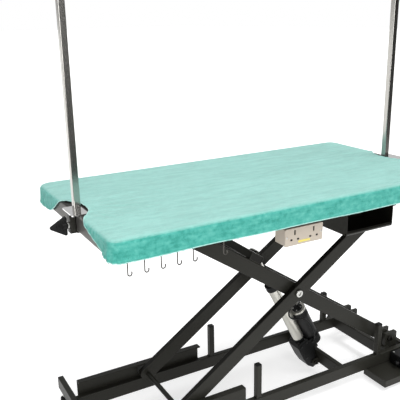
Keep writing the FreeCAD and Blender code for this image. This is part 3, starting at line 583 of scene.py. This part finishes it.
def cover():
    """The towelling cover: one sheet over the board, with a bound hem."""
    verts = cover_points()
    grid = verts.reshape(-1, 3) * MM
    faces = []
    for j in range(len(verts) - 1):
        for i in range(AROUND):
            k = (i + 1) % AROUND
            faces.append((j * AROUND + i, j * AROUND + k, (j + 1) * AROUND + k, (j + 1) * AROUND + i))
    made = piece("terry_cover", grid, faces, "towelling", "platform")
    build = bmesh.new()
    build.from_mesh(made.data)
    bmesh.ops.remove_doubles(build, verts=build.verts[:], dist=0.05 * MM)
    bmesh.ops.dissolve_degenerate(build, edges=build.edges[:], dist=0.01 * MM)
    bmesh.ops.recalc_face_normals(build, faces=build.faces[:])
    build.to_mesh(made.data)
    build.free()
    thick = made.modifiers.new("thickness", "SOLIDIFY")
    thick.thickness = CLOTH * MM
    thick.offset = -1
    thick.use_even_offset = False
    hem_line = [Vector(v) * MM for v in verts[0]]
    hem_verts, hem_faces = sweep(hem_line, HEM_R * MM, sides=8, closed=True)
    hem = piece("cover_hem", hem_verts, hem_faces, "towelling", "platform")
    hem.data.materials.clear()
    hem.data.materials.append(terry("hem_binding", TEAL_PALE, HEM_PALE, HEM_PALE))
    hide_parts("table_cover")


# ---- small fittings --------------------------------------------------------------------------
RAIL_Y = 155            # middle of each base rail
RAIL_SIDE = 10.5        # from there to the beads on its faces
RAIL_INNER_Y = 144.2    # its inner face
END_FACE_X = 598.4      # inner face of each end crossbar
UPRIGHT_Z = (46, 84)    # beads up a rail's end
RAIL_TOP = 88
PEG_X = (-75, 463)
PEG_HALF = 10
CROSSBAR_X = (284, 304, 518, 538)
CHANNEL_Y = 166.2       # outer face of the lower channels
CHANNEL_WELDS = range(-560, -150, 90)
CHANNEL_WELD = 26       # length of one of their beads


def welds():
    """Beads where base tubes, pegs and brackets meet."""
    runs = []
    low, high = UPRIGHT_Z
    for sy in (-1, 1):
        middle = sy * RAIL_Y
        for x in (-END_FACE_X, END_FACE_X):
            for dy in (-RAIL_SIDE, RAIL_SIDE):
                runs.append(bead((x, middle + dy, low), (x, middle + dy, high)))
        for x in PEG_X:
            for dx in (-PEG_HALF, PEG_HALF):
                runs.append(bead((x + dx, middle - 9, RAIL_TOP), (x + dx, middle + 9, RAIL_TOP)))
            for dy in (-PEG_HALF, PEG_HALF):
                runs.append(bead((x - 9, middle + dy, RAIL_TOP), (x + 9, middle + dy, RAIL_TOP)))
        for x in CROSSBAR_X:
            runs.append(bead((x, sy * RAIL_INNER_Y, low), (x, sy * RAIL_INNER_Y, high)))
        for x in CHANNEL_WELDS:
            y, z = -sy * CHANNEL_Y, RAIL_TOP + 0.2
            runs.append(bead((x, y, z), (x + CHANNEL_WELD, y, z)))
    verts, faces = merge(runs)
    piece("base_welds", verts, faces, "black_steel", "base")


LIFT_DEG = 33.9         # inner arms' angle above level
ARM_Y = (-114, 114)
BEAM_EDGES = (-236.5, -183.5)
BEAM_FACE = -183.3      # push beam's face towards the centre pivot
BEAM_TOP = 25.6
LUG_SIDES = (-12, -19, 12, 19)
LUG_HEIGHTS = (27, 43)


def tilted(along, y, above):
    """Point given along, across and above the inner arms, from the centre pivot."""
    pivot = Vector(JOINTS["scissor"]["pos_m"]) / MM
    angle = math.radians(LIFT_DEG)
    return (pivot.x + along * math.cos(angle) + above * math.sin(angle), y,
            pivot.z - along * math.sin(angle) + above * math.cos(angle))


def arm_welds():
    """Beads where the push beam meets the inner arms, and where the actuator's lugs meet the beam."""
    runs = []
    for y in ARM_Y:
        for along in BEAM_EDGES:
            runs.append(bead(tilted(along, y * 0.84, BEAM_TOP), tilted(along, y, BEAM_TOP)))
    for y in LUG_SIDES:
        runs.append(bead(tilted(BEAM_FACE, y, LUG_HEIGHTS[0]), tilted(BEAM_FACE, y, LUG_HEIGHTS[1])))
    verts, faces = merge(runs)
    piece("push_beam_welds", verts, faces, "black_steel", "inner_frame")


RIBS = 7
RIB_STEP = 3.2
SCREW_CIRCLE = 15       # radius that the motor's screws stand on


def motor_details():
    """Cooling ribs, an end face and its screws on the motor, in the actuator's own direction."""
    low, high = (Vector(v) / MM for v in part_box("motor_end_ring"))
    top = (low + high) / 2
    slide = Vector(JOINTS["rod_extend"]["axis"]).normalized()
    ribs = []
    for k in range(RIBS):
        at = -14 - k * RIB_STEP
        ribs.append(lathe(top, slide, [(at, 28.1), (at + 0.3, 28.9), (at + 1.1, 28.9), (at + 1.4, 28.1)]))
    verts, faces = merge(ribs)
    piece("motor_ribs", verts, faces, "dark_alloy", "actuator_body", smooth=False)
    cap = lathe(top, slide, [(-3.4, 8.0), (-1.0, 20.0), (4.2, 20.0), (5.2, 18.5), (5.6, 9.0)])
    piece("motor_end_face", *cap, "dark_alloy", "actuator_body")
    screws = []
    side = slide.cross(Vector((0, 1, 0))).normalized()
    for k in range(4):
        angle = math.pi / 4 + k * math.pi / 2
        spot = top + (side * math.cos(angle) + Vector((0, 1, 0)) * math.sin(angle)) * SCREW_CIRCLE
        screws.append(lathe(spot, slide, [(4.0, 2.6), (7.0, 2.6), (7.6, 1.8)], sides=14))
    verts, faces = merge(screws)
    piece("motor_screws", verts, faces, "zinc", "actuator_body")


# points along the actuator from its lower pin, and towards its upper side
COVER_PANEL = [(-2, -19), (38, -25), (97, -25), (104, -18), (104, 12), (88, 13), (88, 37), (51, 37),
               (42, 17), (8, 5)]
PANEL_SCREWS = [(3, -12), (40, -19), (98, -18), (98, 7), (82, 31), (54, 31)]
END_SCREWS = [(-18, -20), (-18, 20), (9, -24), (9, 24)]
GEARBOX_END = 112       # along the actuator, where its tube starts


def gearbox_details():
    """Raised side covers, their screws, the end screws and the collar round the actuator tube."""
    foot = Vector(JOINTS["actuator_swing"]["pos_m"]) / MM
    slide = Vector(JOINTS["rod_extend"]["axis"]).normalized()
    side = Vector((slide.z, 0, -slide.x))
    half = (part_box("gearbox_housing")[1][1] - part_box("gearbox_housing")[0][1]) / 2 / MM

    def at(along, across, y):
        return foot + slide * along + side * across + Vector((0, y, 0))

    covers, screws = [], []
    for way in (-1, 1):
        corners = [at(along, across, way * (half - 0.5)) for along, across in COVER_PANEL]
        covers.append(plate(corners, (0, way, 0), 2.0, 0.7))
        for along, across in PANEL_SCREWS:
            spot = at(along, across, way * (half + 1.3))
            screws.append(lathe(spot, (0, way, 0), [(0, 3.4), (2.0, 3.4), (2.8, 2.2)], sides=14))
    verts, faces = merge(covers)
    piece("gearbox_side_covers", verts, faces, "black_plastic", "actuator_body", smooth=False)
    for across, y in END_SCREWS:
        spot = at(GEARBOX_END - 1, across, y)
        screws.append(lathe(spot, slide, [(0.0, 3.4), (3.2, 3.4), (4.0, 2.4)], sides=14))
    verts, faces = merge(screws)
    piece("gearbox_screws", verts, faces, "dark_alloy", "actuator_body")
    collar = lathe(at(GEARBOX_END, 0, 0), slide, [(0.2, 20.4), (0.6, 21.8), (7.0, 21.8), (9.0, 20.4)],
                   sides=48)
    piece("gearbox_collar", *collar, "black_plastic", "actuator_body")


def plate(corners, out, height, chamfer):
    """Flat plate standing on an outline, with its outer edge chamfered; millimetres."""
    middle = sum(corners, Vector()) / len(corners)
    out = Vector(out)
    levels = [(0.0, 0.0), (height - chamfer, 0.0), (height, chamfer)]
    verts, faces = [], []
    for rise, inset in levels:
        for corner in corners:
            inward = (middle - corner).normalized()
            verts.append((corner + out * rise + inward * inset) * MM)
    count = len(corners)
    for level in range(len(levels) - 1):
        for i in range(count):
            a, b = level * count + i, level * count + (i + 1) % count
            faces.append((a, b, b + count, a + count))
    faces.append(tuple(range((len(levels) - 1) * count, len(levels) * count)))
    faces.append(tuple(reversed(range(count))))
    return verts, faces


OUTLET_IN = 34          # outlets' middles, from the plate's ends
OUTLET_UP = 24          # and from its lower edge
SLOTS = [(0, 15, 5.2, 14.7), (-12, -6, 7.7, 5.7), (12, -6, 7.7, 5.7)]


def socket_details():
    """Dark inserts in the outlets, two cover screws and the plain yellow strip."""
    low, high = (Vector(v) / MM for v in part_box("socket_plate"))
    front = low.y
    inserts = []
    for x in (low.x + OUTLET_IN, high.x - OUTLET_IN):
        for dx, dz, wide, tall in SLOTS:
            spot = (x + dx, front + 2.6, low.z + OUTLET_UP + dz)
            inserts.append(cell(spot, (wide, 3.0, tall), soften=0.1))
    verts, faces = merge(inserts)
    piece("socket_shutters", verts, faces, "black_plastic", "platform", smooth=False)
    middle = (low.x + high.x) / 2
    strip = piece("socket_strip", *cell((middle, front - 0.2, low.z + 9.5), (42, 0.6, 6.5)),
                  "cream_plastic", "platform", smooth=False)
    strip.data.materials.clear()
    strip.data.materials.append(finish("yellow_strip", (0.80, 0.68, 0.16), rough=0.4, mottle=0.06))
    screws = [lathe((middle + dx, front + 0.4, low.z + 27), (0, -1, 0),
                    [(0, 3.2), (0.9, 3.2), (1.3, 2.2)], sides=20) for dx in (-62, 62)]
    verts, faces = merge(screws)
    piece("socket_screws", verts, faces, "zinc", "platform")


def cell(centre, size, soften=0.25):
    """Small block with chamfered edges, in millimetres."""
    build = bmesh.new()
    bmesh.ops.create_cube(build, size=1.0)
    bmesh.ops.scale(build, vec=Vector(size), verts=build.verts[:])
    bmesh.ops.bevel(build, geom=build.edges[:], offset=min(size) * soften, segments=2, affect="EDGES")
    bmesh.ops.translate(build, vec=Vector(centre), verts=build.verts[:])
    build.verts.index_update()
    verts = [vert.co * MM for vert in build.verts]
    faces = [tuple(vert.index for vert in face.verts) for face in build.faces]
    build.free()
    return verts, faces


RIDGES = 5
RIDGE_STEP = 6.5


def knob_details():
    """Grip ridges on both faces of the wing knobs."""
    for side, sign in (("left", -1), ("right", 1)):
        low, high = (Vector(v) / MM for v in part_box(f"clamp_knob_{side}"))
        middle = (low + high) / 2
        root = high.x if sign < 0 else low.x
        depth, half = high.x - low.x, (high.z - low.z) / 2
        ridges = []
        for k in range(RIDGES):
            away = 5 + k * RIDGE_STEP
            tall = 2 * (half - 4) * (1 - away / depth)
            for dy in (-5.5, 5.5):
                ridges.append(cell((root + sign * away, middle.y + dy, middle.z), (2.2, 1.6, tall)))
        verts, faces = merge(ridges)
        piece(f"clamp_knob_ridges_{side}", verts, faces, "black_plastic", f"clamp_{side}")


def control_details():
    """Screws and a stepped gland on the control box."""
    low, high = (Vector(v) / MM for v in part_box("control_box"))
    screws = [lathe((x, y, high.z - 0.4), (0, 0, 1), [(0, 3.4), (1.6, 3.4), (2.1, 2.3)], sides=18)
              for x in (low.x + 9, high.x - 9) for y in (low.y + 9, high.y - 9)]
    verts, faces = merge(screws)
    piece("control_box_screws", verts, faces, "zinc", "base")
    gland = lathe((low.x + 0.5, (low.y + high.y) / 2, low.z + 18), (-1, 0, 0),
                  [(0, 9.5), (4, 9.5), (4.4, 8.0), (11, 8.0), (13, 6.2), (13.5, 5.0)], sides=30)
    piece("control_box_gland", *gland, "black_plastic", "base")


FOOT_X, FOOT_Y = 609, 268
FOOT_RINGS = [(2.5, 19.6), (6.0, 18.6), (9.5, 17.6)]    # height and radius


def foot_details():
    """Grip rings on the levelling feet."""
    rings = []
    for sx in (-1, 1):
        for sy in (-1, 1):
            for z, r in FOOT_RINGS:
                rings.append(lathe((sx * FOOT_X, sy * FOOT_Y, z), (0, 0, 1),
                                   [(0, r), (0.4, r + 0.9), (1.4, r + 0.9), (1.8, r - 0.3)], sides=48))
    verts, faces = merge(rings)
    piece("foot_rings", verts, faces, "rubber", "base")


def dress_nodes():
    """Every CAD node takes its record slot's finish."""
    slots = {row["node"]: row["material_slot"] for row in frame["record"]["subparts"]}
    for name, thing in NODES.items():
        thing.data.materials.clear()
        thing.data.materials.append(FINISHES[slots[name]])


camera()
FINISHES = make_finishes()
studio()
dress_nodes()
cover()
welds()
arm_welds()
motor_details()
gearbox_details()
socket_details()
knob_details()
control_details()
foot_details()
